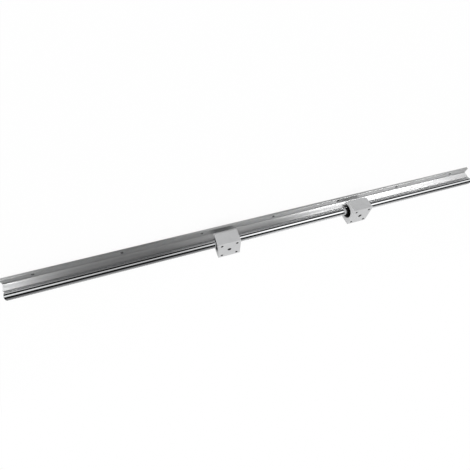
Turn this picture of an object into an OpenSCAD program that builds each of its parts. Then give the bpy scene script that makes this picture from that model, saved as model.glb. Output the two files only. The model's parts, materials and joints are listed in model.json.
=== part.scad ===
// Supported round rail: a hardened shaft screwed down on an aluminium support,
// with two open ball-bearing blocks running on it.
// X runs along the rail, Y across it, Z up. The origin is the middle of the
// support's underside. All sizes are in millimetres.

/* [Rail] */
// Length of the support
rail_length = 1000; // [600:50:2000]
// Diameter of the shaft
shaft_d = 16; // [14:0.5:17]
// Chamfer on the shaft's two ends
shaft_chamfer = 1; // [0.2:0.1:2]
// Distance by which each end of the shaft stops short of the support's end
shaft_inset = 2; // [0.5:0.5:6]

/* [Support] */
// Width of the flange that is bolted down
base_w = 40; // [38:1:60]
// Thickness of the flange
base_t = 5; // [3:0.5:8]
// Height of the web's top above the underside
support_h = 17.8; // [16:0.1:22]
// Width of the web where it leaves the flange
web_foot_w = 15.4; // [14.5:0.1:17]
// Width of the web under the shaft
web_top_w = 11; // [9:0.1:11.6]
// Fillet between the web and the flange
web_fillet = 2; // [0.5:0.1:4]
// Depth to which the shaft sits in its cradle
cradle_depth = 0.8; // [0.4:0.1:1.2]
// Radius of the flange's long edges
edge_r = 0.8; // [0.2:0.1:1.5]
// Width of the screw channel in the underside
channel_w = 10; // [9.2:0.1:11]
// Depth of the screw channel
channel_d = 6; // [5.5:0.1:8]

/* [Fixing holes] */
// Distance between one cross row of holes and the next
hole_pitch = 150; // [50:10:300]
// Least distance from an end to its first holes
min_end = 20; // [10:1:60]
// Distance across the rail between the two lines of holes
hole_span = 30; // [28:0.5:31]
// Diameter of the flange's bolt holes
base_hole_d = 5.5; // [4:0.1:6.5]
// Width of the countersink round a bolt hole
base_sink = 0.5; // [0.1:0.1:0.6]

/* [Shaft screws] */
// Thread diameter of the screws that hold the shaft
screw_d = 5; // [4:0.1:5.4]
// Length of a screw under its head
screw_l = 16; // [13:0.5:18]
// Diameter of a screw's head
head_d = 8.5; // [7:0.1:9]
// Height of a screw's head
head_h = 5; // [3:0.1:5.4]
// Width across the flats of a head's hexagon socket
key_w = 4; // [3:0.5:4.5]
// Depth of a head's hexagon socket
key_depth = 2.5; // [1.5:0.1:3]
// Length of thread beyond a screw's tip in the shaft
thread_spare = 2; // [0.5:0.5:3]

/* [Blocks] */
// Length of a block along the rail
block_l = 45; // [43:1:60]
// Width of a block across the rail
block_w = 45; // [44:1:60]
// Housing wall between the bearing and the mounting face
top_wall = 6; // [5.5:0.1:10]
// Depth of the housing below the shaft's axis
skirt = 13; // [12:0.1:13.5]
// Slanted corner between a block's side and its bottom
skirt_chamfer = 6.5; // [3:0.1:8]
// Half angle of the opening that straddles the web
opening_half = 40; // [39:0.5:44]
// Small chamfer on the housing's outer edges
edge_chamfer = 0.6; // [0.2:0.1:1]
// Chamfer at each mouth of the housing's bore
bore_chamfer = 1.6; // [0.3:0.1:2]
// Middle of the left block, from the middle of the rail
block_1_x = -106; // [-230:1:-30]
// Middle of the right block, from the middle of the rail
block_2_x = 187; // [30:1:230]

/* [Block holes] */
// Distance along the rail between a block's tapped holes
tap_pitch_x = 30; // [24:1:34]
// Distance across the rail between a block's tapped holes
tap_pitch_y = 32; // [30:0.5:36]
// Core diameter of a tapped hole
tap_d = 4.2; // [3:0.1:5]
// Depth of a tapped hole
tap_depth = 12; // [6:0.5:14]
// Width of the countersink round a tapped hole
tap_sink = 0.5; // [0.1:0.1:1]
// Diameter of the set screw in the middle of the mounting face
set_screw_d = 6; // [4:0.1:7]
// Depth of the set screw's top below the mounting face
set_screw_recess = 1.2; // [0.5:0.1:2]
// Width across the flats of the set screw's hexagon socket
set_key_w = 3; // [2:0.5:3]
// Depth of the set screw's hexagon socket
set_key_depth = 2.2; // [1:0.1:3]
// Diameter of the set screw's dog point
dog_d = 2.8; // [2:0.1:3.4]
// Length of the set screw's dog point
dog_l = 1.2; // [0.5:0.1:1.4]
// Width of the countersink round the set screw's hole
set_sink = 1; // [0.2:0.1:1.5]

/* [Ball bearing] */
// Radial thickness of the bearing, from the shaft to the housing
bearing_wall = 6; // [5.8:0.1:6.4]
// Length of the bearing
bearing_l = 37; // [32:0.5:41]
// Radial thickness of the steel sleeve between its ball tracks
sleeve_wall = 1.8; // [1.6:0.1:1.9]
// Diameter of a ball
ball_d = 2.38; // [2.2:0.02:2.5]
// Angle of the upper circuits' loaded rows, from straight up
upper_angle = 24; // [20:1:26]
// Angle of the lower circuits' loaded rows, from straight up
lower_angle = 116; // [114:1:120]
// Angle at the axis between a circuit's loaded and returning rows
row_angle = 22; // [21:0.5:24]
// Half the width, as an angle, of a hardened track in the sleeve
track_half = 8; // [7:0.5:8.5]
// Length of cage left beyond each circuit's turns
cage_end = 1; // [0.8:0.1:2]
// Thickness of an end seal
seal_t = 2.5; // [1.5:0.1:3.5]
// Thickness of the sleeve's lip round an end seal
seal_lip = 0.8; // [0.5:0.1:1.2]

/* [Clearances] */
// Running clearance, on the radius, of balls and seals on the shaft
run_gap = 0.05; // [0.02:0.01:0.1]
// Clearance of pieces that are fitted into each other
fit_gap = 0.05; // [0.02:0.01:0.08]
// Clearance of the shaft in its cradle, on the radius
cradle_gap = 0.03; // [0.01:0.01:0.1]
// Clearance of a ball in its channel, and from one ball to the next
ball_clear = 0.1; // [0.05:0.01:0.15]
// Clearance of the cage round the shaft, on the radius
cage_gap = 0.6; // [0.4:0.1:0.8]
// Clearance of the cage beside and beyond a track, in degrees and in millimetres
track_slack = 0.5; // [0.3:0.1:0.8]
// Clearance of a screw in its through hole, on the radius
screw_gap = 0.25; // [0.1:0.05:0.4]

/* [Hidden] */
$fn = 64;
eps = 0.01;
fillet_bite = 0.02;

shaft_r = shaft_d / 2;
shaft_z = support_h - cradle_depth + shaft_r;

row_count = floor((rail_length - 2 * min_end) / hole_pitch) + 1;
row_xs = [for (i = [0:row_count - 1]) (i - (row_count - 1) / 2) * hole_pitch];

bearing_r = shaft_r + bearing_wall;
block_top = shaft_z + bearing_r + top_wall;
block_bottom = shaft_z - skirt;
set_bore_r = set_screw_d / 2;

ball_r = ball_d / 2;
sleeve_in_r = bearing_r - sleeve_wall;
load_r = shaft_r + run_gap + ball_r;
return_r = sleeve_in_r - fit_gap - ball_r;
track_r = load_r + ball_r + fit_gap;
cage_in_r = shaft_r + cage_gap;
cage_out_r = sleeve_in_r - fit_gap;
cage_l = bearing_l - 2 * seal_t - 2 * fit_gap;
turn_r = norm(polar(load_r, row_angle) - polar(return_r, 0)) / 2;
CIRCUITS = [[upper_angle, upper_angle + row_angle], [lower_angle, lower_angle - row_angle]];
leg_l = cage_l - 2 * (turn_r + ball_r + cage_end);

BLOCKS = [1, 2];
BLOCK_XS = [block_1_x, block_2_x];
BLOCK_PIECES = ["housing", "sleeve", "cage", "balls", "seal_left", "seal_right", "set_screw"];

// A point at radius r and angle a from straight up, in the YZ plane.
function polar(r, a) = [r * sin(a), r * cos(a)];

// Extrudes a YZ outline along X, centred on x = 0.
module along_x(length) {
    rotate([90, 0, 90])
        linear_extrude(height = length, center = true)
            children();
}

// A round bar along X, centred on x = 0.
module bar_x(r, length) {
    rotate([0, 90, 0])
        cylinder(r = r, h = length, center = true);
}

// A wedge that widens from the origin, in outline, round the angle a from up.
module sector(r, a, half) {
    reach = r / cos(half);
    polygon([[0, 0], polar(reach, a - half), polar(reach, a + half)]);
}

// The opening under the shaft's axis, in outline, so wide as to straddle the web.
module opening() {
    sector(3 * bearing_r, 180, opening_half);
}

// ---- Support ----

// The right half of the support's section, from the underside up to the cradle.
module support_half() {
    slope = (web_foot_w - web_top_w) / 2 / (support_h - base_t);
    lean = norm([1, slope]);
    fillet_y = web_foot_w / 2 + web_fillet * (lean - slope);
    union() {
        // Flange, with its long edges rounded
        translate([0, edge_r])
            square([base_w / 2, base_t - 2 * edge_r]);
        square([base_w / 2 - edge_r, base_t]);
        for (z = [edge_r, base_t - edge_r])
            translate([base_w / 2 - edge_r, z])
                circle(r = edge_r);
        // Web, narrowing towards the shaft
        polygon([
            [0, 0],
            [web_foot_w / 2, 0],
            [web_foot_w / 2, base_t],
            [web_top_w / 2, support_h],
            [0, support_h]
        ]);
        // Fillet between the web and the flange, whose circle bites a little into both
        difference() {
            translate([web_foot_w / 2 - 1, base_t - 1])
                square([fillet_y - web_foot_w / 2 + 1, 1 + web_fillet * (1 - slope / lean)]);
            translate([fillet_y, base_t + web_fillet])
                circle(r = web_fillet + fillet_bite);
        }
    }
}

// A bolt hole through the flange, with a countersunk mouth.
module flange_hole() {
    hole_r = base_hole_d / 2;
    translate([0, 0, -1])
        cylinder(r = hole_r, h = base_t + web_fillet + 2);
    translate([0, 0, base_t - base_sink])
        cylinder(r1 = hole_r, r2 = hole_r + base_sink + eps, h = base_sink + eps);
}

module support_rail() {
    color([0.80, 0.81, 0.82])
    difference() {
        along_x(rail_length)
            difference() {
                union() {
                    support_half();
                    mirror([1, 0]) support_half();
                }
                translate([0, shaft_z])
                    circle(r = shaft_r + cradle_gap);
                translate([-channel_w / 2, -1])
                    square([channel_w, channel_d + 1]);
            }
        for (x = row_xs) {
            for (side = [-1, 1])
                translate([x, side * hole_span / 2, 0])
                    flange_hole();
            translate([x, 0, 0])
                cylinder(r = screw_d / 2 + screw_gap, h = support_h + 1);
        }
    }
}

// ---- Shaft and its screws ----

module shaft() {
    core_l = rail_length - 2 * (shaft_inset + shaft_chamfer);
    color([0.86, 0.87, 0.88])
    difference() {
        translate([0, 0, shaft_z]) {
            bar_x(shaft_r, core_l);
            for (side = [-1, 1])
                translate([side * core_l / 2, 0, 0])
                    rotate([0, side * 90, 0])
                        cylinder(r1 = shaft_r, r2 = shaft_r - shaft_chamfer, h = shaft_chamfer);
        }
        for (x = row_xs)
            translate([x, 0, 0])
                cylinder(r = screw_d / 2 + fit_gap, h = channel_d + screw_l + thread_spare);
    }
}

// A socket-head screw that points up, with its head in the channel.
module shaft_screw(x) {
    color([0.20, 0.20, 0.21])
    translate([x, 0, channel_d])
    difference() {
        union() {
            translate([0, 0, -head_h])
                cylinder(d = head_d, h = head_h);
            cylinder(d = screw_d, h = screw_l);
        }
        translate([0, 0, -head_h - eps])
            cylinder(d = key_w / cos(30), h = key_depth, $fn = 6);
    }
}

// ---- Block: housing ----

module housing_outline() {
    half = block_w / 2;
    polygon([
        [-half, block_bottom + skirt_chamfer],
        [-half + skirt_chamfer, block_bottom],
        [half - skirt_chamfer, block_bottom],
        [half, block_bottom + skirt_chamfer],
        [half, block_top - edge_chamfer],
        [half - edge_chamfer, block_top],
        [-half + edge_chamfer, block_top],
        [-half, block_top - edge_chamfer]
    ]);
}

// A bar of square section set on edge, which planes a chamfer off an edge along Z.
module edge_plane(length) {
    rotate([0, 0, 45])
        cube([edge_chamfer * sqrt(2), edge_chamfer * sqrt(2), length], center = true);
}

// A blind hole from the mounting face down, with a countersunk mouth.
module face_hole(r, depth, sink) {
    translate([0, 0, block_top - depth])
        cylinder(r = r, h = depth + 1);
    translate([0, 0, block_top - sink])
        cylinder(r1 = r, r2 = r + sink + eps, h = sink + eps);
}

module housing() {
    color([0.74, 0.75, 0.76])
    difference() {
        along_x(block_l)
            difference() {
                housing_outline();
                translate([0, shaft_z]) opening();
            }
        // Bore for the bearing, with a chamfer at each mouth
        translate([0, 0, shaft_z]) {
            bar_x(bearing_r + fit_gap, block_l + 2);
            for (side = [-1, 1])
                translate([side * (block_l / 2 - bore_chamfer), 0, 0])
                    rotate([0, side * 90, 0])
                        cylinder(
                            r1 = bearing_r + fit_gap,
                            r2 = bearing_r + fit_gap + bore_chamfer + eps,
                            h = bore_chamfer + eps
                        );
        }
        // Chamfers round the two end faces
        for (end = [-1, 1]) {
            translate([end * block_l / 2, 0, block_top])
                rotate([90, 0, 0]) edge_plane(block_w + 2);
            for (side = [-1, 1])
                translate([end * block_l / 2, side * block_w / 2, shaft_z])
                    edge_plane(4 * bearing_r);
        }
        // Tapped holes, and the set screw's hole through to the bearing
        for (x = [-1, 1] * tap_pitch_x / 2, y = [-1, 1] * tap_pitch_y / 2)
            translate([x, y, 0]) face_hole(tap_d / 2, tap_depth, tap_sink);
        face_hole(set_bore_r, top_wall + bearing_wall, set_sink);
    }
}

// A headless screw that locks the bearing, with a dog point and a hexagon socket.
module set_screw() {
    top = block_top - set_screw_recess;
    seat = shaft_z + bearing_r + fit_gap;
    socket_d = set_key_w / cos(30);
    color([0.16, 0.16, 0.17])
    difference() {
        union() {
            translate([0, 0, seat])
                cylinder(r = set_bore_r - fit_gap, h = top - seat);
            translate([0, 0, seat - dog_l])
                cylinder(d = dog_d, h = dog_l + eps);
        }
        translate([0, 0, top - set_key_depth])
            cylinder(d = socket_d, h = set_key_depth + 1, $fn = 6);
    }
}

// ---- Block: ball bearing ----

// A ring along X with the opening cut out of it.
module open_ring(r_out, r_in, length) {
    along_x(length)
        difference() {
            circle(r = r_out);
            circle(r = r_in);
            opening();
        }
}

// Repeats something on both sides of the bearing.
module both_sides() {
    for (side = [0, 1])
        mirror([0, side, 0])
            children();
}

// Draws something in each of the four circuits' own planes: x along the rail, y
// from the loaded row to the returning one, with the origin midway between them.
module each_circuit() {
    both_sides()
        for (rows = CIRCUITS) {
            inner = polar(load_r, rows[0]);
            outer = polar(return_r, rows[1]);
            middle = (inner + outer) / 2;
            translate([0, middle[0], middle[1]])
                rotate([atan2(outer[1] - inner[1], outer[0] - inner[0]), 0, 0])
                    children();
        }
}

// Four bars along X in the shape of the hardened tracks, from the radius r_in out.
module each_track(length, half, r_in) {
    both_sides()
        for (rows = CIRCUITS)
            along_x(length)
                difference() {
                    intersection() {
                        circle(r = sleeve_in_r + eps);
                        sector(bearing_r, rows[0], half);
                    }
                    circle(r = r_in);
                }
}

// The closed channel in which a circuit's balls run.
module circuit_channel(r) {
    for (side = [-1, 1]) {
        translate([0, side * turn_r, 0])
            bar_x(r, leg_l + eps);
        translate([side * leg_l / 2, 0, 0])
            rotate([0, 0, side == 1 ? -90 : 90])
                rotate_extrude(angle = 180)
                    translate([turn_r, 0]) circle(r = r);
    }
}

// The place of a ball at distance s round a circuit.
function on_circuit(s) =
    let (arc = PI * turn_r)
    s < leg_l ? [s - leg_l / 2, -turn_r, 0]
    : s < leg_l + arc ?
        let (a = -90 + (s - leg_l) / arc * 180)
        [leg_l / 2 + turn_r * cos(a), turn_r * sin(a), 0]
    : s < 2 * leg_l + arc ? [leg_l / 2 - (s - leg_l - arc), turn_r, 0]
    : let (a = 90 + (s - 2 * leg_l - arc) / arc * 180)
        [-leg_l / 2 + turn_r * cos(a), turn_r * sin(a), 0];

module balls() {
    round_l = 2 * leg_l + 2 * PI * turn_r;
    count = floor(round_l / (ball_d + ball_clear));
    color([0.90, 0.90, 0.91])
    translate([0, 0, shaft_z])
        each_circuit()
            for (i = [0:count - 1])
                translate(on_circuit(i * round_l / count))
                    sphere(r = ball_r);
}

// Steel sleeve with a hardened track over each loaded row, and a thin lip at each
// end that holds a seal.
module sleeve() {
    color([0.62, 0.63, 0.65])
    translate([0, 0, shaft_z])
    difference() {
        union() {
            open_ring(bearing_r, sleeve_in_r, bearing_l);
            each_track(leg_l, track_half, track_r);
        }
        for (side = [-1, 1])
            translate([side * bearing_l / 2, 0, 0])
                bar_x(bearing_r - seal_lip, 2 * seal_t);
        cylinder(r = dog_d / 2 + screw_gap, h = 2 * bearing_r);
    }
}

// Moulded cage that leads the balls round.
module cage() {
    color([0.15, 0.30, 0.22])
    translate([0, 0, shaft_z])
    difference() {
        open_ring(cage_out_r, cage_in_r, cage_l);
        each_circuit() circuit_channel(ball_r + ball_clear);
        each_track(leg_l + 2 * track_slack, track_half + track_slack, track_r - fit_gap);
    }
}

// Rubber wiper held inside the sleeve's lip; side is -1 on the left.
module seal(side) {
    color([0.05, 0.05, 0.05])
    translate([side * (bearing_l - seal_t) / 2, 0, shaft_z])
        open_ring(bearing_r - seal_lip - fit_gap, shaft_r + run_gap, seal_t);
}

module block_piece(piece) {
    if (piece == "housing") housing();
    if (piece == "sleeve") sleeve();
    if (piece == "cage") cage();
    if (piece == "balls") balls();
    if (piece == "seal_left") seal(-1);
    if (piece == "seal_right") seal(1);
    if (piece == "set_screw") set_screw();
}

support_rail();
shaft();
for (i = [1:row_count])
    shaft_screw(row_xs[i - 1]);
for (b = BLOCKS) for (piece = BLOCK_PIECES)
    translate([BLOCK_XS[b - 1], 0, 0]) block_piece(piece);
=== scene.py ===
# %% [markdown]
# # Supported round rail with two open bearing blocks
# A polished shaft lies in the cradle of an extruded aluminium support, and two blocks slide along
# it. The solids come from the frame at their real size and stay as they are. This lesson gives them
# their finishes, adds the detail that is too fine for the solids, and sets up the studio. Lengths
# are in metres, and the grain of a pattern is counted per metre.

# %% Load the frame
import json
import math

import bmesh
import bpy
from mathutils import Matrix, Vector


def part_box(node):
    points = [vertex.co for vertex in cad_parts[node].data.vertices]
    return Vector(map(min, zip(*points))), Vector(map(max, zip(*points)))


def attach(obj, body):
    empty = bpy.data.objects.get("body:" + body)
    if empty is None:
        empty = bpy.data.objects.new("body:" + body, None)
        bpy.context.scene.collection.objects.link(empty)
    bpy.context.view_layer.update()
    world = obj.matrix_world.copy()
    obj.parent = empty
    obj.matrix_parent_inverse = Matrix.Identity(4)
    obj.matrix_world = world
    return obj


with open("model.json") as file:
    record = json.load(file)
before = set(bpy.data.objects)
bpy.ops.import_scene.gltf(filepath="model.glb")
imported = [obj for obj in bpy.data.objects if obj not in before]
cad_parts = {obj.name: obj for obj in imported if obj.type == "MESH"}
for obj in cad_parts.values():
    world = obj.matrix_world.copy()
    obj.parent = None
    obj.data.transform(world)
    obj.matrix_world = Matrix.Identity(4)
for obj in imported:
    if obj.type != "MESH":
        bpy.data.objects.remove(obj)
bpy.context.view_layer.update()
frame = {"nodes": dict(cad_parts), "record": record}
nodes = frame["nodes"]

# %% [markdown]
# ## Places
# The scene could repeat the part's sizes as numbers, but they would go stale when the part changes.
# So every place on the part is read from the frame. The blocks are told apart by number, and each
# one is a body of its own.

# %% Places that the steps below share
BLOCKS = {1: "carriage_1", 2: "carriage_2"}
MM_PER_M = 1000
AXES = {"x": 0, "y": 1, "z": 2}


def half_width(node, axis):
    """Half of a node's size along one axis."""
    low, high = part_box(node)
    return (high[AXES[axis]] - low[AXES[axis]]) / 2


def hole_pattern(name):
    """The middle of a bolt pattern, half its two spacings, and its holes' radius."""
    sizes = mounts[name]["dims"]
    half_x, half_y = (sizes.get(f"spacing_{axis}_mm", 0.0) / MM_PER_M / 2 for axis in "xy")
    return Vector(mounts[name]["pos_m"]), half_x, half_y, sizes["hole_r_mm"] / MM_PER_M


mounts = {mount["name"]: mount for mount in frame["record"]["mounts"]}
shaft_low, shaft_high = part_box("shaft")
shaft_z = (shaft_low.z + shaft_high.z) / 2
shaft_r = half_width("shaft", "z")
print("rail length:", 2 * half_width("support_rail", "x"), "shaft height:", shaft_z)
print("taps of block 1:", hole_pattern("carriage_1_bolts"))

# %% [markdown]
# ## Camera
# The rail is seen from above its front side with a wide lens, held nearly upside down, so that the
# flange is at the top of the frame and the mounting faces are at the bottom. The camera could be
# given by three rotation angles, but a place, a point to aim at and a roll are easier to read.

# %% Camera
CAMERA_PLACE = Vector((-0.2196, 0.5137, 0.3361))
CAMERA_AIM = Vector((-0.0853, 0.0, 0.0164))
CAMERA_ROLL = math.radians(158.4)
LENS_MM = 23.79
SENSOR_MM = 36.0
NEAREST = 0.01


def make_camera(place, aim, roll):
    camera = bpy.data.objects.new("camera", bpy.data.cameras.new("camera"))
    camera.data.lens = LENS_MM
    camera.data.sensor_width = SENSOR_MM
    camera.data.clip_start = NEAREST
    turn = (aim - place).to_track_quat("-Z", "Y").to_matrix().to_4x4()
    camera.matrix_world = Matrix.Translation(place) @ turn @ Matrix.Rotation(roll, 4, "Z")
    bpy.context.scene.collection.objects.link(camera)
    return camera


bpy.context.scene.camera = make_camera(CAMERA_PLACE, CAMERA_AIM, CAMERA_ROLL)
bpy.context.scene.view_settings.view_transform = "Standard"
print("camera lens in mm:", LENS_MM)

# %% [markdown]
# ## Writing shaders as sums
# A shader is a graph of nodes, which is slow to read when each node and link is made by hand. One
# small class wraps a socket instead. An expression such as `1 - mask * 0.3` then adds its own Math
# nodes, and every other node comes from the method `add`, which sets a node's settings first and
# its sockets after them. Bare metals are greys with a breath of blue, so those have a helper too.


# %% Greys and ramps
def grey(tone):
    return (tone, tone, tone, 1.0)


def cool_grey(tone, step):
    """A bluish grey: its green is one step above its red, and its blue two."""
    return (tone, tone + step, tone + 2 * step, 1.0)


def fill_ramp(ramp, stops):
    """stops are (place, grey tone), in order."""
    while len(ramp.elements) > 1:
        ramp.elements.remove(ramp.elements[-1])
    for number, (place, tone) in enumerate(stops):
        element = ramp.elements[0] if number == 0 else ramp.elements.new(place)
        element.position = place
        element.color = grey(tone)


print("a bluish grey:", cool_grey(0.5, 0.01))

# %% The socket wrapper
# The Mix node has a socket of each name for every kind of value, so its colours go by number
MIX_SHARE, MIX_LOW, MIX_HIGH, MIXED = 0, 6, 7, 2


class Wire:
    """A value that runs through one node tree."""

    def __init__(self, tree, socket=None):
        self.tree = tree
        self.socket = socket

    def add(self, kind, settings=None, sockets=None, out=0):
        node = self.tree.nodes.new(kind)
        for name, value in (settings or {}).items():
            if name == "stops":
                fill_ramp(node.color_ramp, value)
            else:
                setattr(node, name, value)
        for name, value in (sockets or {}).items():
            if isinstance(value, Wire):
                self.tree.links.new(value.socket, node.inputs[name])
            else:
                node.inputs[name].default_value = value
        return Wire(self.tree, node.outputs[out] if len(node.outputs) else None)

    def math(self, operation, *values):
        return self.add("ShaderNodeMath", {"operation": operation}, dict(enumerate(values)))

    def vector(self, operation, *values, out=0):
        values = dict(enumerate(values))
        return self.add("ShaderNodeVectorMath", {"operation": operation}, values, out)

    def ramp(self, *stops):
        """Grey tones at places from 0 to 1 along this value."""
        return self.add("ShaderNodeValToRGB", {"stops": stops}, {"Fac": self})

    def mix(self, low, high):
        """A colour from low to high by this value."""
        colours = {MIX_SHARE: self, MIX_LOW: low, MIX_HIGH: high}
        return self.add("ShaderNodeMix", {"data_type": "RGBA"}, colours, out=MIXED)

    def __add__(self, other):
        return self.math("ADD", self, other)

    __radd__ = __add__

    def __sub__(self, other):
        return self.math("SUBTRACT", self, other)

    def __rsub__(self, other):
        return self.math("SUBTRACT", other, self)

    def __mul__(self, other):
        return self.math("MULTIPLY", self, other)

    __rmul__ = __mul__

    def __truediv__(self, other):
        return self.math("DIVIDE", self, other)

    def __rtruediv__(self, other):
        return self.math("DIVIDE", other, self)

    def __abs__(self):
        return self.math("ABSOLUTE", self)

    def __gt__(self, other):
        return self.math("GREATER_THAN", self, other)

    def __lt__(self, other):
        return self.math("LESS_THAN", self, other)

    def least(self, other):
        return self.math("MINIMUM", self, other)

    def most(self, other):
        return self.math("MAXIMUM", self, other)


print("socket wrapper ready")


# %% Empty materials
def new_material(name):
    """An empty material and a wire to start its graph from."""
    material = bpy.data.materials.new(name)
    material.use_nodes = True
    material.node_tree.nodes.clear()
    return material, Wire(material.node_tree)


def finish_material(start, shader):
    start.add("ShaderNodeOutputMaterial", sockets={"Surface": shader})


def surface(start, **sockets):
    """The main shader. Its sockets are named with underscores for spaces."""
    values = {name.replace("_", " "): value for name, value in sockets.items()}
    return start.add("ShaderNodeBsdfPrincipled", sockets=values)


print("material helpers ready")

# %% [markdown]
# ## Patterns
# Patterns could be painted on unwrapped surfaces. Here they are laid out in the object's own
# coordinates, which equal the part's frame, so nothing needs to be unwrapped and a finish moves
# with its body. Lines from drawing or grinding are stretched noise. They tilt the normal only
# across their own direction, as real grooves do: a reflection then spreads across the lines and
# stays sharp along them.

# %% Where a spot on the surface is
END_FACING = 0.9  # a cut end's normal points at least this much along the rail


def place_of(start):
    return start.add("ShaderNodeTexCoord", out="Object")


def parts_of(vector):
    split = vector.add("ShaderNodeSeparateXYZ", sockets={0: vector})
    return [Wire(vector.tree, output) for output in split.socket.node.outputs]


def faces_along_x(start):
    """1 on cut ends, which look along the rail, and 0 elsewhere."""
    outward = start.add("ShaderNodeTexCoord", out="Normal")
    return abs(parts_of(outward)[AXES["x"]]) > END_FACING


def length_of(*wires):
    """The length of the vector whose parts are these numbers."""
    joined = wires[0].add("ShaderNodeCombineXYZ", sockets=dict(enumerate(wires)))
    return joined.vector("LENGTH", joined, out="Value")


print("place helpers ready")


# %% Grain, rings and grooves
def even(per_metre):
    """The same grain along all three axes."""
    return (per_metre, per_metre, per_metre)


def noise(place, grain, detail=2.0, roughness=0.5):
    """Noise from 0 to 1 with so much grain per metre along each axis."""
    scaled = place.vector("MULTIPLY", place, grain)
    sockets = {"Vector": scaled, "Scale": 1.0, "Detail": detail, "Roughness": roughness}
    return scaled.add("ShaderNodeTexNoise", sockets=sockets)


def rings_at(off, per_metre, detail):
    """Noise that changes only with the distance from a middle, as a turning tool's marks do."""
    distance = off.add("ShaderNodeCombineXYZ", sockets={0: off})
    return noise(distance, (per_metre, 0.0, 0.0), detail=detail)


def grooved(start, place, direction, grain, tilt):
    """The normal, tilted at random across grooves that run along a direction."""
    normal = start.add("ShaderNodeNewGeometry", out="Normal")
    across = normal.vector("CROSS_PRODUCT", normal, direction)
    push = (noise(place, grain, detail=3.0, roughness=0.7) - 0.5) * (2 * tilt)
    pushed = across.add("ShaderNodeVectorMath", {"operation": "SCALE"}, {0: across, "Scale": push})
    bent = normal.vector("ADD", normal, pushed)
    return bent.vector("NORMALIZE", bent)


def grain_bump(start, grain, strength, height):
    sockets = {"Strength": strength, "Distance": height, "Height": grain}
    return start.add("ShaderNodeBump", sockets=sockets)


print("pattern helpers ready")

# %% [markdown]
# ## Finishes
# The support is drawn through a die, which leaves fine lines all along it, and is then sawn off and
# drilled. The saw leaves arcs across its ends, and the holes get painted shade: their colour is
# dark inside. Each of these could be a material on faces of its own, but the solid has to stay as
# it is, so masks tell one material where it is. The drilled places come from the record's bolt
# patterns.

# %% Masks on the support
SKIN = 0.0001  # a mask ends this far past a wall, or this far short of a face it must not touch
HOLE_REACH = 0.0033  # from the screw heads' underside to just below the holes' chamfered rims
SAW_RADIUS = 0.12
SAW_ASIDE = 0.4  # how far to the side the saw's middle stood, in radii
SAW_LINES = 4000.0

base_patterns = sorted(name for name in mounts if name.startswith("base_bolts"))


def drilled(place):
    """1 inside the flange's bolt holes, 0 elsewhere."""
    x, y, z = parts_of(place)
    inside = None
    for name in base_patterns:
        middle, half_x, half_y, radius = hole_pattern(name)
        holes = length_of(abs(x - middle.x) - half_x, abs(y) - half_y) < radius + SKIN
        inside = inside.most(holes) if inside else holes
    return inside * (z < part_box("shaft_screw_1")[0].z + HOLE_REACH)


def saw_arcs(place):
    """Fine arcs from 0 to 1, as a big round blade leaves them."""
    _, y, z = parts_of(place)
    return rings_at(length_of(y - SAW_RADIUS * SAW_ASIDE, z + SAW_RADIUS), SAW_LINES, detail=2.0)


print("drilled patterns:", base_patterns)

# %% Extruded aluminium
ALONG_RAIL = (1.0, 0.0, 0.0)
DRAWN_DARK, DRAWN_LIGHT = cool_grey(0.70, 0.003), cool_grey(0.99, 0.002)
DRAWN_LINES, DRAWN_CLOUDS = (1.5, 420.0, 420.0), (9.0, 60.0, 60.0)
DRAWN_GROOVES, GROOVE_TILT = (2.0, 500.0, 500.0), 0.08
LINE_SHARE, SAW_CONTRAST, SAW_DARKENING = 0.7, 0.8, 0.5
# Painted shade: the grey inside the flange's bolt holes
FLANGE_HOLE_SHADE = 0.4
DRAWN_METAL = 0.94
DRAWN_ROUGHNESS, CLOUD_ROUGHNESS, SAWN_ROUGHNESS = 0.30, 0.06, 0.15


def extruded_aluminium():
    material, start = new_material("extruded_aluminium")
    place = place_of(start)
    end = faces_along_x(start)
    lines = noise(place, DRAWN_LINES, detail=4.0, roughness=0.6)
    clouds = noise(place, DRAWN_CLOUDS)
    tone = lines * LINE_SHARE + clouds * (1 - LINE_SHARE)
    tone = tone + end * (saw_arcs(place) * SAW_CONTRAST - SAW_DARKENING)
    # The flange's bolt holes are coloured with painted shade
    colour = drilled(place).mix(tone.mix(DRAWN_DARK, DRAWN_LIGHT), grey(FLANGE_HOLE_SHADE))
    roughness = clouds * CLOUD_ROUGHNESS + DRAWN_ROUGHNESS + end * SAWN_ROUGHNESS
    normal = grooved(start, place, ALONG_RAIL, DRAWN_GROOVES, GROOVE_TILT)
    finish_material(start, surface(start, Base_Color=colour, Metallic=DRAWN_METAL,
                                   Roughness=roughness, Normal=normal))
    return material


finishes = {"support_rail": extruded_aluminium()}
print("made:", finishes["support_rail"].name)

# %% [markdown]
# The shaft is ground and chromed, so it mirrors the room with only a trace of rings round it. Its
# ends are bare turned steel. The hardened case shows there as a paler ring round a darker core. The
# rings could be real grooves, but they are far finer than any mesh, so they only change the tone
# and the roughness a little.

# %% Hard chrome
CHROME_DARK, CHROME_LIGHT = cool_grey(0.84, 0.01), cool_grey(0.89, 0.01)
CHROME_RINGS, END_RINGS = (2500.0, 3.0, 3.0), 5000.0
CASE = ((0.0, 0.32), (0.70, 0.36), (0.76, 0.52), (1.0, 0.56))  # from the middle to the rim
TURNED_TONE, TURNED_SHARE = 0.75, 0.3
CHROME_ROUGHNESS, RING_ROUGHNESS, TURNED_ROUGHNESS = 0.05, 0.03, 0.25


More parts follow.
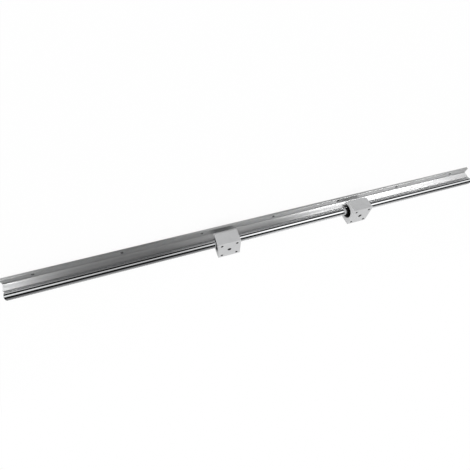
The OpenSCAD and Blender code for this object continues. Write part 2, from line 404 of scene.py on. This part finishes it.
def hard_chrome():
    material, start = new_material("hard_chrome")
    place = place_of(start)
    end = faces_along_x(start)
    _, y, z = parts_of(place)
    off = length_of(y, z - shaft_z)
    turned = rings_at(off, END_RINGS, detail=1.0)
    case = (off / shaft_high.y).ramp(*CASE)
    steel = (turned * TURNED_SHARE).mix(case, grey(TURNED_TONE))
    rings = noise(place, CHROME_RINGS, detail=1.0)
    colour = end.mix(rings.mix(CHROME_DARK, CHROME_LIGHT), steel)
    roughness = rings * RING_ROUGHNESS + CHROME_ROUGHNESS + end * TURNED_ROUGHNESS
    finish_material(start, surface(start, Base_Color=colour, Metallic=1.0, Roughness=roughness))
    return material


finishes["shaft"] = hard_chrome()
print("made:", finishes["shaft"].name)

# %% [markdown]
# The housing is a bar of aluminium: its sides are blasted and dull, its two sawn ends are milled
# and painted lighter, as lit ends, its holes and the mouths of its bore are painted dark as shade,
# and its edges are rubbed bare.
# Again one material does all of it with masks, so that the solid stays one piece. Both blocks wear
# it, so a place is first counted from the middle of the block that it belongs to.

# %% Masks on a block
TAP_RIM = 0.0004  # from a tap's radius to past the rim of its hole
SCREW_RIM = 0.0009  # from the set screw's radius to past the rim of its hole
BORE_RIM = 0.0008  # from the sleeve's radius to past the wall of the bore's mouth


def block_place(place):
    """x from the block's own middle, y, and z, as three wires."""
    x, y, z = parts_of(place)
    border = (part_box("block_1_housing")[1].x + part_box("block_2_housing")[0].x) / 2
    first, second = (hole_pattern(f"{body}_bolts")[0].x for body in BLOCKS.values())
    return x - ((x > border) * (second - first) + first), y, z


def in_holes(place):
    """1 in the tapped holes, in the set screw's hole and in the mouths of the bore, 0 elsewhere."""
    x, y, z = block_place(place)
    _, half_x, half_y, tap_r = hole_pattern("carriage_1_bolts")
    taps = length_of(abs(x) - half_x, abs(y) - half_y) < tap_r + TAP_RIM
    middle = length_of(x, y) < half_width("block_1_set_screw", "x") + SCREW_RIM
    mouth = length_of(y, z - shaft_z) < half_width("block_1_sleeve", "y") + BORE_RIM
    from_above = (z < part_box("block_1_housing")[1].z - SKIN) * (z > shaft_z)
    return (from_above * taps.most(middle)).most(mouth)


def edge_distance(place):
    """Distance to the nearest of the block's long outer edges."""
    x, y, z = block_place(place)
    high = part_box("block_1_housing")[1]
    off_end = half_width("block_1_housing", "x") - abs(x)
    off_side, off_top = high.y - abs(y), high.z - z
    return off_end.least(off_side).most(off_end.most(off_side).least(off_top))


print("bore mouth radius:", half_width("block_1_sleeve", "y") + BORE_RIM)

# %% Blasted aluminium
BLASTED_DARK, BLASTED_LIGHT = cool_grey(0.54, 0.005), cool_grey(0.74, 0.005)
# The ends' tones are partly painted light: lighter than the sides, as lit ends; their lines are
# milled
MILLED_LIT_DARK, MILLED_LIT_LIGHT = cool_grey(0.80, 0.005), cool_grey(0.95, 0.005)
# The second tone is a painted shade for the tapped holes, the set screw's hole and the bore's
# mouths
RUBBED, HOLE_SHADE = cool_grey(0.93, 0.005), grey(0.05)
BLASTED_GRAIN, BLASTED_CLOUDS, MILLED_LINES = even(2600.0), even(70.0), (300.0, 60.0, 4000.0)
RUBBED_WIDTH, RUBBED_RAGGED, RUBBED_SHARE = 0.001, 0.6, 0.6
RUBBED_FADE = ((0.55, 1.0), (0.95, 0.0))
BLASTED_METAL = 0.15
BLASTED_ROUGHNESS, GRAIN_ROUGHNESS, MILLED_POLISH, RUBBED_POLISH = 0.50, 0.08, 0.12, 0.1
GRAIN_STRENGTH, GRAIN_HEIGHT = 0.15, 0.00005


def blasted_aluminium():
    material, start = new_material("blasted_aluminium")
    place = place_of(start)
    grain = noise(place, BLASTED_GRAIN)
    clouds = noise(place, BLASTED_CLOUDS)
    end = faces_along_x(start)
    worn = (edge_distance(place) / RUBBED_WIDTH + grain * RUBBED_RAGGED).ramp(*RUBBED_FADE)
    blasted = (clouds * 0.5 + grain * 0.5).mix(BLASTED_DARK, BLASTED_LIGHT)
    # The ends: milled lines in a lighter tone that is painted light
    milled_lit_end = noise(place, MILLED_LINES, detail=3.0).mix(MILLED_LIT_DARK, MILLED_LIT_LIGHT)
    colour = (worn * RUBBED_SHARE).mix(end.mix(blasted, milled_lit_end), RUBBED)
    # Painted shade: the holes and the mouths of the bore are coloured near-black
    colour = in_holes(place).mix(colour, HOLE_SHADE)
    roughness = grain * GRAIN_ROUGHNESS + BLASTED_ROUGHNESS
    roughness = roughness - end * MILLED_POLISH - worn * RUBBED_POLISH
    bump = grain_bump(start, grain, GRAIN_STRENGTH, GRAIN_HEIGHT)
    finish_material(start, surface(start, Base_Color=colour, Metallic=BLASTED_METAL,
                                   Roughness=roughness, Normal=bump))
    return material


finishes["housing"] = blasted_aluminium()
print("made:", finishes["housing"].name)

# %% [markdown]
# The screws are blackened steel, the bearing's sleeve is hardened and ground, and its balls are
# polished until they mirror. They differ only in tone and in polish, so one function makes all
# three, with faint handling marks, instead of three graphs that say nearly the same.

# %% Steels
MARK_GRAIN, MARK_ROUGHNESS = even(900.0), 0.12


def ground_steel(name, dark, light, polish):
    """polish is the roughness where the steel is smoothest."""
    material, start = new_material(name)
    marks = noise(place_of(start), MARK_GRAIN, detail=3.0)
    colour = marks.mix(grey(dark), grey(light))
    roughness = marks * MARK_ROUGHNESS + polish
    finish_material(start, surface(start, Base_Color=colour, Metallic=1.0, Roughness=roughness))
    return material


finishes["shaft_screw"] = ground_steel("black_screw_steel", dark=0.03, light=0.07, polish=0.3)
finishes["set_screw"] = finishes["shaft_screw"]
finishes["sleeve"] = ground_steel("bearing_steel", dark=0.55, light=0.68, polish=0.2)
finishes["balls"] = ground_steel("ball_steel", dark=0.85, light=0.9, polish=0.04)
# The threads in the housing's holes are near-black as painted shade, so the holes stay dark
shaded_thread = ground_steel("shaded_thread", dark=0.06, light=0.14, polish=0.3)
print("made:", sorted({finishes[name].name for name in ("shaft_screw", "sleeve", "balls")}))

# %% [markdown]
# The cage is moulded plastic with a slight sheen, and the end seals are black rubber with none.
# Both have the fine even grain of their mould. A bump is enough for it, because it never shows in
# the outline. The amount of shine is the same all over, so it is set on the shader itself.

# %% Moulded plastic and rubber
MOULD_GRAIN, MOULD_ROUGHNESS = even(1800.0), 0.15
MOULD_STRENGTH, MOULD_HEIGHT = 0.2, 0.00004
CAGE_DARK, CAGE_LIGHT = (0.03, 0.09, 0.05, 1.0), (0.05, 0.14, 0.08, 1.0)


def moulded(name, dark, light, polish, shine):
    material, start = new_material(name)
    grain = noise(place_of(start), MOULD_GRAIN)
    roughness = grain * MOULD_ROUGHNESS + polish
    bump = grain_bump(start, grain, MOULD_STRENGTH, MOULD_HEIGHT)
    finish_material(start, surface(start, Base_Color=grain.mix(dark, light), Metallic=0.0,
                                   Roughness=roughness, Normal=bump, Specular_IOR_Level=shine))
    return material


finishes["cage"] = moulded("moulded_cage", CAGE_DARK, CAGE_LIGHT, polish=0.4, shine=0.5)
finishes["seal"] = moulded("seal_rubber", grey(0.004), grey(0.012), polish=0.75, shine=0.0)
print("made:", finishes["cage"].name, finishes["seal"].name)

# %% [markdown]
# ## Dressing the solids
# Each solid could be given its finish by hand. The nodes' names already say what each one is, so a
# solid gets the finish whose name it holds, and a new block or screw is dressed by itself.


# %% Dress the solids
def finish_for(node):
    """The finish whose name the node's name holds; the longest such name wins."""
    return finishes[max((name for name in finishes if name in node), key=len)]


for name, solid in nodes.items():
    solid.data.materials.clear()
    solid.data.materials.append(finish_for(name))
print("dressed solids:", len(nodes))

# %% [markdown]
# ## Fine pieces
# Three details are too fine for the solids but catch the light close up: the threads that a tap
# has cut in the mounting holes, the lips of the rubber wipers, and the knurling round the screws'
# heads. Each is a closed profile that is moved along a path, so one small builder makes all three.
# A normal map could hint at them, but it would vanish in an exported mesh.


# %% A builder for swept profiles
def sweep(mesh_data, loops):
    """Joins closed loops of points, all with the same count, into a tube with capped ends."""
    rings = [[mesh_data.verts.new(point) for point in loop] for loop in loops]
    for ring, following in zip(rings, rings[1:]):
        for here in range(len(ring)):
            there = (here + 1) % len(ring)
            mesh_data.faces.new((ring[here], ring[there], following[there], following[here]))
    mesh_data.faces.new(rings[0][::-1])
    mesh_data.faces.new(rings[-1])


def outward_at(angle):
    return Vector((math.cos(angle), math.sin(angle), 0))


def piece_from(name, mesh_data, material, body):
    """Turns the built mesh into a piece that rides on a body."""
    bmesh.ops.recalc_face_normals(mesh_data, faces=mesh_data.faces)
    mesh = bpy.data.meshes.new(name)
    mesh_data.to_mesh(mesh)
    mesh_data.free()
    mesh.materials.append(material)
    piece = bpy.data.objects.new(name, mesh)
    bpy.context.scene.collection.objects.link(piece)
    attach(piece, body)
    print(name, "faces:", len(mesh.polygons))
    return piece


print("sweep builder ready")

# %% [markdown]
# A tap leaves a helix of ridges in each mounting hole. Stacked rings would be simpler, but their
# ends would give them away. The ridge is a low triangle whose foot is sunk a little into the wall,
# and it starts under the countersink, as a real thread does.

# %% Threads in the mounting holes
THREAD_PITCH = 0.0008
RIDGE_HEIGHT = 0.00016
RIDGE_FOOT = 0.00004
RIDGE_HALF = 0.35  # half the ridge's width, in pitches
THREAD_TOP = 0.0009
THREAD_LENGTH = 0.0100
STEPS_PER_TURN = 24


def thread_loops(middle, radius, top):
    """Triangles along a helix that goes down from the top."""
    foot, tip = radius + RIDGE_FOOT, radius - RIDGE_HEIGHT
    for step in range(int(THREAD_LENGTH / THREAD_PITCH * STEPS_PER_TURN) + 1):
        out = outward_at(2 * math.pi * step / STEPS_PER_TURN)
        z = top - THREAD_PITCH * step / STEPS_PER_TURN
        corners = ((foot, RIDGE_HALF), (tip, 0.0), (foot, -RIDGE_HALF))
        yield [middle + out * r + Vector((0, 0, z + rise * THREAD_PITCH)) for r, rise in corners]


def tap_threads(block, body):
    middle, half_x, half_y, radius = hole_pattern(f"{body}_bolts")
    data = bmesh.new()
    for x in (-half_x, half_x):
        for y in (-half_y, half_y):
            hole = Vector((middle.x + x, middle.y + y, 0))
            sweep(data, thread_loops(hole, radius, middle.z - THREAD_TOP))
    return piece_from(f"block_{block}_tap_threads", data, shaded_thread, body)


for block, body in BLOCKS.items():
    tap_threads(block, body)

# %% [markdown]
# Each wiper is a disc of rubber. A thin lip leans outwards from its bore and rides on the shaft to
# keep grit out, and a moulded rib stiffens the disc further out. Both follow the same open arc as
# the disc. A full ring with a cut would need a boolean, and an arc that stops at the gap doesn't.
# The gap is worked out from the lowest point of the disc's box.

# %% Wiper lips and ribs
ARC_STEPS = 96
GAP_MARGIN = 0.02  # how far the arcs stop short of the disc's own gap, in radians
# Corners of the two profiles, each as (outward from the disc, above the shaft)
LIP = ((-0.0002, 0.0009), (0.0004, 0.0009), (0.0013, 0.00022),
       (0.0014, 0.00006), (0.0011, 0.00006), (-0.0002, 0.0005))
RIB = ((-0.0002, 0.0034), (0.00018, 0.0034), (0.00038, 0.0031),
       (0.00038, 0.0028), (0.00018, 0.0025), (-0.0002, 0.0025))


def arc_loops(profile, disc, face_x, sense):
    """The profile, led round the shaft from one side of the disc's gap to the other."""
    gap = math.acos((shaft_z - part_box(disc)[0].z) / half_width(disc, "y")) + GAP_MARGIN
    for step in range(ARC_STEPS + 1):
        angle = -math.pi / 2 + gap + (2 * math.pi - 2 * gap) * step / ARC_STEPS
        yield [Vector((face_x + sense * out, (shaft_r + up) * math.cos(angle),
                       shaft_z + (shaft_r + up) * math.sin(angle))) for out, up in profile]


def wiper(block, body, side, sense):
    disc = f"block_{block}_seal_{side}"
    low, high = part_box(disc)
    face_x = high.x if sense > 0 else low.x
    data = bmesh.new()
    for profile in (LIP, RIB):
        sweep(data, arc_loops(profile, disc, face_x, sense))
    return piece_from(f"block_{block}_wiper_{side}", data, finishes["seal"], body)


for block, body in BLOCKS.items():
    for side, sense in (("left", -1), ("right", 1)):
        wiper(block, body, side, sense)

# %% [markdown]
# The screws that hold the shaft have knurled heads. The knurl is a ring of small upright ridges,
# with rounded-off ends, round each head in the channel under the support. A texture could carry it,
# but real ridges also show in the head's outline.

# %% Knurled heads
KNURLS = 40
KNURL_HEIGHT = 0.00012
KNURL_WIDTH = 0.8  # of the room that each ridge has
KNURL_START = 0.0006  # above the head's underside
HEAD_SHARE = 0.22  # where the knurl ends, as a share of the whole screw
KNURL_SHAPE = ((0.0, 0.2), (0.08, 1.0), (0.92, 1.0), (1.0, 0.2))  # share of the way up, height


def knurl_loops(middle, radius, low_z, high_z, angle):
    """One upright ridge, thinner at both ends."""
    width = math.pi * radius / KNURLS * KNURL_WIDTH
    out = outward_at(angle)
    across = Vector((-out.y, out.x, 0)) * width
    for share, size in KNURL_SHAPE:
        up = Vector((0, 0, low_z + (high_z - low_z) * share))
        foot = middle + out * (radius - KNURL_HEIGHT) + up
        tip = middle + out * (radius + KNURL_HEIGHT * size) + up
        yield [foot - across, tip, foot + across]


def head_knurls():
    data = bmesh.new()
    for name in sorted(name for name in nodes if name.startswith("shaft_screw_")):
        low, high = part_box(name)
        middle = Vector(((low.x + high.x) / 2, 0, 0))
        low_z, high_z = low.z + KNURL_START, low.z + HEAD_SHARE * (high.z - low.z)
        for number in range(KNURLS):
            angle = 2 * math.pi * number / KNURLS
            sweep(data, knurl_loops(middle, half_width(name, "x"), low_z, high_z, angle))
    return piece_from("shaft_screw_knurls", data, finishes["shaft_screw"],
                      "rail")


head_knurls()

# %% [markdown]
# ## Studio
# The floor is plain and white. It could be lit until it burns out, but that would also burn out the
# metal, so it glows a little for the camera instead and keeps the soft shadow of the rail. Further
# away, where no shadow falls, it glows fully.

# %% Floor
FLOOR_SIZE = 12.0
FLOOR_DROP = 0.0002  # keeps the floor out of the plane of the support's underside


def make_floor():
    mesh = bpy.data.meshes.new("floor")
    half = FLOOR_SIZE / 2
    corners = [(-half, -half, 0), (half, -half, 0), (half, half, 0), (-half, half, 0)]
    mesh.from_pydata(corners, [], [(0, 1, 2, 3)])
    floor = bpy.data.objects.new("floor", mesh)
    floor.location.z = -FLOOR_DROP
    bpy.context.scene.collection.objects.link(floor)
    return floor


floor = make_floor()
print("floor:", FLOOR_SIZE, "m square")

# %% [markdown]
# A polished thing shows what stands round it more than its own colour, so product studios put grey
# cards and dark cloth beside it. They could be real objects outside the camera's view. Here Light
# Path does it: the floor is white paper for the camera and for the light that it gives back, but
# metal sees two strips of grey card on dark cloth in it, the narrow one for the flange's edge and
# the wide one for the neck of the support.

# %% What the camera and the metal see of the floor
CAMERA_GLOW = 0.86
GLOW_WIDTH, GLOW_FADE = 0.8, ((0.2, 0.0), (1.0, 1.0))
CARD_WIDTH, CARDS_ACROSS = 0.1, ((0.29, 0.5), (0.31, 0.01), (0.34, 0.01), (0.38, 1.0),
                                 (0.57, 1.0), (0.62, 0.01))
CARD_LENGTH, CARDS_ALONG = 1.6, ((0.19, 0.7), (0.24, 0.33), (0.35, 0.25), (0.42, 0.7), (0.46, 0.7),
                                 (0.50, 0.5), (0.63, 0.4), (0.81, 0.6), (0.87, 1.0))


def ray_kinds(start):
    """1 for what the camera sees, and 1 for what metal mirrors."""
    outputs = start.add("ShaderNodeLightPath").socket.node.outputs
    return [Wire(start.tree, outputs[kind]) for kind in ("Is Camera Ray", "Is Glossy Ray")]


def floor_paper():
    material, start = new_material("floor_paper")
    seen, mirrored = ray_kinds(start)
    x, y, _ = parts_of(place_of(start))
    off = abs(y)
    cards = (off / CARD_WIDTH).ramp(*CARDS_ACROSS) * (x / CARD_LENGTH + 0.5).ramp(*CARDS_ALONG)
    far = (off / GLOW_WIDTH).ramp(*GLOW_FADE)
    glow = seen * (far * (1 - CAMERA_GLOW) + CAMERA_GLOW)
    paper = start.add("ShaderNodeBsdfDiffuse", sockets={"Color": grey(1.0)})
    white = start.add("ShaderNodeEmission", sockets={"Color": grey(1.0)})
    card = start.add("ShaderNodeEmission", sockets={"Color": cards})
    for_camera = start.add("ShaderNodeMixShader", sockets={0: glow, 1: paper, 2: white})
    shader = start.add("ShaderNodeMixShader", sockets={0: mirrored, 1: for_camera, 2: card})
    finish_material(start, shader)
    return material


floor.data.materials.append(floor_paper())
print("made:", floor.data.materials[0].name)

# %% [markdown]
# The world is a plain light room, and the camera sees it white. Polished metal sees soft boxes and
# dark flags in it: bands that run along the rail, which draw the lines on the shaft, and a
# brightness that changes along the rail, which the drawn aluminium shows as a long soft gradient.
# An image of a real studio would do it too, but bands made of two ramps are easier to move.

# %% World
ROOM_TONE, FLAG_TONE = 0.75, 0.004
# Round the rail: 0.25 is straight down, 0.5 the front horizon, 0.75 straight up, 1 the back horizon
FRONT_BOX = ((0.53, 0.0), (0.54, 1.0), (0.65, 1.0), (0.66, 0.0))
BACK_BOX = ((0.77, 0.0), (0.79, 0.4), (0.89, 0.5), (0.92, 1.0), (1.0, 1.0))
# Along the rail: 0 is its left, 1 its right
FRONT_ALONG = ((0.30, 0.4), (0.34, 0.30), (0.40, 0.12), (0.48, 0.10), (0.56, 0.30), (0.62, 0.6),
               (0.68, 0.88), (0.80, 0.95), (0.88, 0.55))
BACK_ALONG = ((0.30, 0.36), (0.34, 0.5), (0.39, 0.55), (0.48, 0.44), (0.56, 0.48), (0.62, 0.7),
              (0.68, 0.95), (0.80, 1.0), (0.88, 0.5))


def make_world():
    world = bpy.data.worlds.new("studio")
    world.use_nodes = True
    world.node_tree.nodes.clear()
    start = Wire(world.node_tree)
    x, y, z = parts_of(start.add("ShaderNodeTexCoord", out="Generated"))
    turn = z.math("ARCTAN2", z, y) / (2 * math.pi) + 0.5
    along = (x + 1) / 2
    front = turn.ramp(*FRONT_BOX) * along.ramp(*FRONT_ALONG)
    back = turn.ramp(*BACK_BOX) * along.ramp(*BACK_ALONG)
    seen, mirrored = ray_kinds(start)
    tone = seen.mix(mirrored.mix(grey(ROOM_TONE), front + back + FLAG_TONE), grey(1.0))
    light = start.add("ShaderNodeBackground", sockets={"Color": tone, "Strength": 1.0})
    start.add("ShaderNodeOutputWorld", sockets={"Surface": light})
    bpy.context.scene.world = world
    return world


world = make_world()
print("world:", world.name)

# %% [markdown]
# Four lamps light the part. The key hangs over the whole rail. Two low strips in front of the
# rail's ends shine on the support alone, by light linking, as they would between dark cards: the
# dull aluminium grows bright towards the ends, and the blocks stay even. They stand hardly higher
# than the rail, because light that comes in so flat lights the upright web evenly and leaves the
# flange darker. The long strip is for the shaft alone and draws the bright line down the middle of
# its chrome. Stronger light from everywhere would flatten all of this.

# %% Lamps
STRIP_Y, STRIP_Z = 0.285, 0.037
WEB_Z = 0.012
RIGHT_X, LEFT_X, SHAFT_X = 0.455, -0.68, 0.1


def area_lamp(name, place, aim, size, power, only=None):
    """An area lamp that the camera doesn't see. With only, it lights just that object."""
    data = bpy.data.lights.new(name, "AREA")
    data.shape = "RECTANGLE"
    data.size, data.size_y = size
    data.energy = power
    lamp = bpy.data.objects.new(name, data)
    lamp.location = place
    lamp.rotation_euler = (Vector(aim) - Vector(place)).to_track_quat("-Z", "Y").to_euler()
    lamp.visible_camera = False
    if only:
        lit = bpy.data.collections.new(f"{name}_lights")
        lit.objects.link(only)
        lamp.light_linking.receiver_collection = lit
    else:
        lamp.visible_glossy = False
    bpy.context.scene.collection.objects.link(lamp)
    print(name, "watts:", power)


area_lamp("key", place=(0.0, -0.3, 1.6), aim=(0, 0, 0), size=(2.4, 1.2), power=9.0)
area_lamp("right_strip", place=(RIGHT_X, STRIP_Y, STRIP_Z), aim=(RIGHT_X, 0, WEB_Z),
          size=(0.53, 0.06), power=0.85, only=nodes["support_rail"])
area_lamp("left_strip", place=(LEFT_X, STRIP_Y, STRIP_Z), aim=(LEFT_X, 0, WEB_Z),
          size=(0.16, 0.06), power=0.33, only=nodes["support_rail"])
area_lamp("shaft_strip", place=(SHAFT_X, 0.257, 0.19), aim=(SHAFT_X, 0, shaft_z),
          size=(1.55, 0.13), power=0.33, only=nodes["shaft"])
